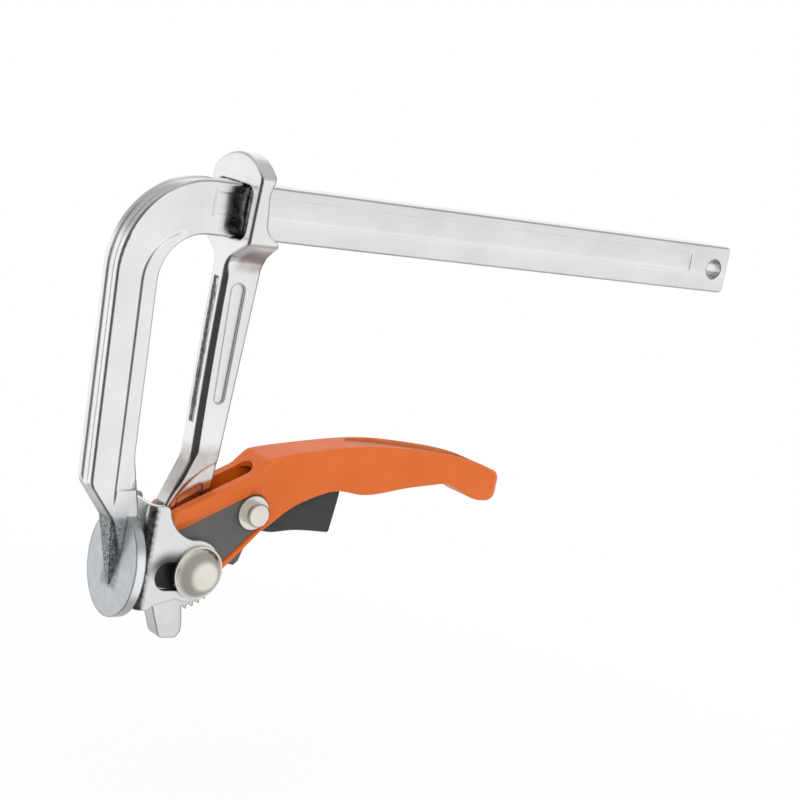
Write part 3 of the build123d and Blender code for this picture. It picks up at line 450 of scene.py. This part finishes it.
def plate_finish():
    look, colour, polish = metal_base(
        "plated_sheet", dark=(0.78, 0.79, 0.80), light=(0.86, 0.87, 0.875), roughness=(0.16, 0.23),
        grain=1500, grain_depth=0.000012, swell=0.00004, edge=0.0012,
    )
    # painted shade: a dark halo round the slot, on its upper side, where the rivet head darkens the plate
    before = look.calc("MAXIMUM", look.minus(SLOT_LEFT, look.x), 0.0)
    past = look.calc("MAXIMUM", look.minus(look.x, SLOT_RIGHT), 0.0)
    beyond = look.plus(look.square(before), look.square(past))
    far = look.calc("POWER", look.plus(beyond, look.square(look.plus(look.z, SLOT_DROP))), 0.5)
    rivet_shade = look.times(look.fall(far, *RIVET_SHADE_EDGE), look.rise(look.z, *RIVET_SHADE_LOWER))
    shade = look.blend(look.times(rivet_shade, RIVET_SHADE_SHARE), colour, RIVET_SHADE_COLOUR)
    aside = look.calc("ABSOLUTE", look.y)
    # painted dark reflection along the sides of the bends, broken up by noise, then painted dark reflections
    # along the rounded edges
    bend = look.times(look.box(*PLATE_BEND), look.rise(aside, *PLATE_BEND_SIDES))
    broken_reflection = look.spread(look.noise(700, detail=6, rough=0.75), 0.35, 0.95, start=0.4, end=0.6)
    shade = look.paint_edge_reflection(look.blend(look.times(bend, broken_reflection), shade, BEND_REFLECTION_DARK), upright=0.12, lying=0.55)
    look.paint(shade, look.blend(look.sides(), polish, PLATE_SATIN))
    return look.material


# Rivet, pin and washers: nickel plate, with a painted dark reflection band round the shoulder of each head
DOME_REFLECTION_BAND = [(0.0, 0.80), (0.45, 0.85), (0.66, 0.40), (0.80, 0.42), (0.93, 1.0), (1.0, 1.0)]


def nickel_finish():
    look, colour, polish = metal_base(
        "nickel", dark=(0.72, 0.68, 0.62), light=(0.80, 0.755, 0.70), roughness=(0.15, 0.22),
        grain=1800, grain_depth=0.000004, swell=0.00001,
    )
    # painted reflection: darker in a band where each head turns from its face to its side
    look.paint(look.tint(colour, look.ramp(look.facing(1), greys(DOME_REFLECTION_BAND), "EASE")), polish)
    return look.material


# Bush, rings, spacers and spring: bare steel
def plain_finish():
    return metal_base(
        "plain_steel", dark=(0.42, 0.42, 0.41), light=(0.52, 0.52, 0.51), roughness=(0.28, 0.40),
        grain=1500, grain_depth=0.00001, swell=0.00002,
    )[0].material


# Lever: orange moulding, with painted shade in the thumb trough
THUMB_TROUGH = ((0.102, -0.0066, 0.044), (0.168, 0.0066, 0.0542), 0.0004)
TROUGH_SHADE_COLOUR = (0.46, 0.165, 0.085)


def lever_finish():
    look, colour = plastic_base("orange_moulding", 38, (0.66, 0.120, 0.004), (0.72, 0.135, 0.007))
    # painted shade: the thumb trough is darker and browner, in patches
    trough_shade = look.times(look.box(*THUMB_TROUGH), look.spread(look.noise(300, detail=5), 0.55, 0.9))
    return leather(look, look.blend(trough_shade, colour, TROUGH_SHADE_COLOUR), roughness=(0.40, 0.50), grain_depth=0.00002)


# Side plates and pawl: grey coating, with painted shade where the cams run inside the pressure plate
SHADE_BEHIND_SLOT = ((-0.01, -0.03, -0.02), (0.0245, 0.03, 0.0035), 0.002)
SHADE_BLACK = (0.008, 0.008, 0.008)


def coating_finish():
    look, colour = plastic_base("grey_coating", 60, (0.084, 0.080, 0.077), (0.106, 0.102, 0.098))
    # painted shade: near black where the plates sit in the dark behind the pressure plate's slot
    shade = look.blend(look.box(*SHADE_BEHIND_SLOT), colour, SHADE_BLACK)
    return leather(look, shade, roughness=(0.42, 0.55), grain_depth=0.00002)


# Trigger: black moulding with a coarser grain
def trigger_finish():
    look, colour = plastic_base("black_moulding", 38, (0.020, 0.0195, 0.019), (0.030, 0.029, 0.028))
    return leather(look, colour, roughness=(0.45, 0.6), grain_depth=0.00004)


bar = rail_finish()
forging = arm_finish()
sheet = plate_finish()
nickel = nickel_finish()
plain = plain_finish()
grey = coating_finish()
orange = lever_finish()
black = trigger_finish()

LOOKS = {
    "rail_and_fixed_arm": bar,
    "sliding_arm": forging,
    "pressure_plate": sheet,
    "pivot_bush": plain,
    "main_rivet": nickel,
    "rivet_washer_near": nickel,
    "rivet_washer_far": nickel,
    "thrust_ring_near": plain,
    "thrust_ring_far": plain,
    "lever": orange,
    "side_plate_near": grey,
    "side_plate_far": grey,
    "pawl_pin": nickel,
    "pawl_washer_near": nickel,
    "pawl_washer_far": nickel,
    "pawl_spacer_near": plain,
    "pawl_spacer_far": plain,
    "pawl_spring": plain,
    "pawl": grey,
    "trigger": black,
}


def dress(obj, material):
    obj.data.materials.clear()
    obj.data.materials.append(material)


for name, obj in nodes.items():
    dress(obj, LOOKS[name])

# Lever: the moulded body with the corners of its end rounded over
WELD = 1e-6
NOSE_START = 0.175
NOSE_TIP = 0.1867
NOSE_STEPS = 14
NOSE_FIRST_ROUND = 0.001
NOSE_ROUND = 0.0028
NOSE_QUICKEN = 1.8
NOSE_SKIN = 0.00003
QUARTER_STEPS = 8
ROUND_LIMIT = 0.98
ENVELOPE_START = -0.05
ENVELOPE_SCALE = 9.0
ENVELOPE_STEP = 0.00001
SHARP_ANGLE = math.radians(25)


def section(mesh, x):
    """Half width, lowest and highest point of a mesh where it is cut across the x axis."""
    cut = bmesh.new()
    cut.from_mesh(mesh)
    made = bmesh.ops.bisect_plane(
        cut, geom=cut.verts[:] + cut.edges[:] + cut.faces[:], plane_co=(x, 0, 0), plane_no=(1, 0, 0),
    )
    places = [v.co.copy() for v in made["geom_cut"] if isinstance(v, bmesh.types.BMVert)]
    cut.free()
    return max(p.y for p in places), min(p.z for p in places), max(p.z for p in places)


def rounded_ring(x, half_width, low, high, corner, scale=1.0):
    """A rounded rectangle across the x axis."""
    middle = (low + high) / 2
    half_height = (high - low) / 2
    corner = min(corner, ROUND_LIMIT * half_width, ROUND_LIMIT * half_height)
    ring = []
    for quarter, (side, up) in enumerate([(1, 1), (-1, 1), (-1, -1), (1, -1)]):
        for step in range(QUARTER_STEPS + 1):
            angle = math.radians(90 * quarter + 90 * step / QUARTER_STEPS)
            y = side * (half_width - corner) + corner * math.cos(angle)
            z = up * (half_height - corner) + corner * math.sin(angle)
            ring.append((x, y * scale, middle + z * scale))
    return ring


def nose_rings(mesh):
    """Rings far outside the lever up to its nose, and then just inside it with growing corners."""
    half_width, low, high = section(mesh, NOSE_START)
    rings = [
        rounded_ring(x, half_width, low, high, NOSE_FIRST_ROUND, ENVELOPE_SCALE)
        for x in (ENVELOPE_START, NOSE_START - ENVELOPE_STEP)
    ]
    for step in range(NOSE_STEPS + 1):
        share = step / NOSE_STEPS
        x = NOSE_START + (NOSE_TIP - NOSE_START) * share
        half_width, low, high = section(mesh, x)
        corner = NOSE_FIRST_ROUND + (NOSE_ROUND - NOSE_FIRST_ROUND) * min(1.0, NOSE_QUICKEN * share)
        rings.append(rounded_ring(x, half_width - NOSE_SKIN, low + NOSE_SKIN, high - NOSE_SKIN, corner))
    return rings


def ring_solid(name, rings):
    """A closed mesh through the rings."""
    count = len(rings[0])
    faces = [tuple(reversed(range(count))), tuple(range(count * (len(rings) - 1), count * len(rings)))]
    for ring in range(len(rings) - 1):
        first, second = ring * count, (ring + 1) * count
        for point in range(count):
            after = (point + 1) % count
            faces.append((first + point, first + after, second + after, second + point))
    mesh = bpy.data.meshes.new(name)
    mesh.from_pydata([p for ring in rings for p in ring], [], faces)
    solid = bmesh.new()
    solid.from_mesh(mesh)
    bmesh.ops.recalc_face_normals(solid, faces=solid.faces)
    solid.to_mesh(mesh)
    solid.free()
    return mesh


def rounded_lever():
    whole = bmesh.new()
    whole.from_mesh(nodes["lever"].data)
    bmesh.ops.remove_doubles(whole, verts=whole.verts, dist=WELD)
    mesh = bpy.data.meshes.new("lever_rounded")
    whole.to_mesh(mesh)
    whole.free()
    envelope = bpy.data.objects.new("envelope", ring_solid("envelope", nose_rings(mesh)))
    piece = bpy.data.objects.new("lever_rounded", mesh)
    for obj in (envelope, piece):
        scene.collection.objects.link(obj)
    keep = piece.modifiers.new("nose", "BOOLEAN")
    keep.operation = "INTERSECT"
    keep.solver = "EXACT"
    keep.object = envelope
    shaped = bpy.data.meshes.new_from_object(piece.evaluated_get(bpy.context.evaluated_depsgraph_get()))
    piece.modifiers.clear()
    piece.data = shaped
    bpy.data.objects.remove(envelope)
    for face in shaped.polygons:
        face.use_smooth = True
    shaped.set_sharp_from_angle(angle=SHARP_ANGLE)
    even = piece.modifiers.new("even_light", "WEIGHTED_NORMAL")
    even.keep_sharp = True
    dress(piece, orange)
    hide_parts("lever")
    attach(piece, "lever_body")


rounded_lever()


def background_rays(tree):
    """1 for the rays that see the plain background: camera, glossy and transmission."""
    path = tree.add("ShaderNodeLightPath")
    mirrored = tree.calc("MAXIMUM", path.outputs["Is Glossy Ray"], path.outputs["Is Transmission Ray"])
    return tree.calc("MAXIMUM", path.outputs["Is Camera Ray"], mirrored)


# Floor: pale, below the lever's lowest reach, keeps the object's shadow and runs out to the plain background
FLOOR_LEVEL = -0.172
FLOOR_HALF = 3.0
FLOOR_COLOUR = (0.9, 0.9, 0.9, 1.0)
FLOOR_ROUGHNESS = 0.9
FADE_SQUARED = (0.04, 0.5)
GLOW_NEAR, GLOW_FAR = 0.86, 1.0


def build_floor():
    mesh = bpy.data.meshes.new("floor")
    corners = [(-1, -1), (1, -1), (1, 1), (-1, 1)]
    ring = [(x * FLOOR_HALF, y * FLOOR_HALF, FLOOR_LEVEL) for x, y in corners]
    mesh.from_pydata(ring, [], [(0, 1, 2, 3)])
    floor = bpy.data.objects.new("floor", mesh)
    scene.collection.objects.link(floor)
    look = Finish("floor")
    look.paint(FLOOR_COLOUR, FLOOR_ROUGHNESS)
    far = look.plus(look.square(look.x), look.square(look.y))
    keep = look.spread(far, GLOW_NEAR, GLOW_FAR, *FADE_SQUARED, soft=True)
    mix = look.add("ShaderNodeMixShader")
    look.feed(mix.inputs[0], look.times(background_rays(look), keep))
    look.feed(mix.inputs[1], look.shader.outputs["BSDF"])
    look.feed(mix.inputs[2], look.add("ShaderNodeEmission").outputs["Emission"])
    look.feed(look.nodes["Material Output"].inputs["Surface"], mix.outputs["Shader"])
    floor.data.materials.append(look.material)


# World: even soft light, and a white background that the camera, metal and glass all show
EVEN_LIGHT = (0.66, 0.66, 0.66)
BACKGROUND = (1.0, 1.0, 1.0)


def build_world():
    world = bpy.data.worlds.new("studio")
    scene.world = world
    tree = Tree(world)
    seen = tree.blend(background_rays(tree), EVEN_LIGHT, BACKGROUND)
    tree.feed(tree.nodes["Background"].inputs["Color"], seen)


# Three soft lamps: name, place, aim, size in metres and power in watts
LAMPS = [
    ("key", (-0.9, -1.1, 1.1), (0.1, 0, 0.08), (0.9, 0.9), 10),
    ("fill", (1.2, -1.0, 0.5), (0.15, 0, 0.08), (0.8, 1.2), 5),
    ("rim", (0.2, 1.2, 1.0), (0.12, 0, 0.08), (1.0, 0.6), 5),
]


def lamp(name, place, aim, size, power):
    data = bpy.data.lights.new(name, "AREA")
    data.shape = "RECTANGLE"
    data.size, data.size_y = size
    data.energy = power
    obj = bpy.data.objects.new(name, data)
    scene.collection.objects.link(obj)
    obj.location = place
    obj.rotation_euler = (Vector(aim) - Vector(place)).to_track_quat("-Z", "Y").to_euler()
    obj.visible_glossy = False


build_floor()
build_world()
for values in LAMPS:
    lamp(*values)
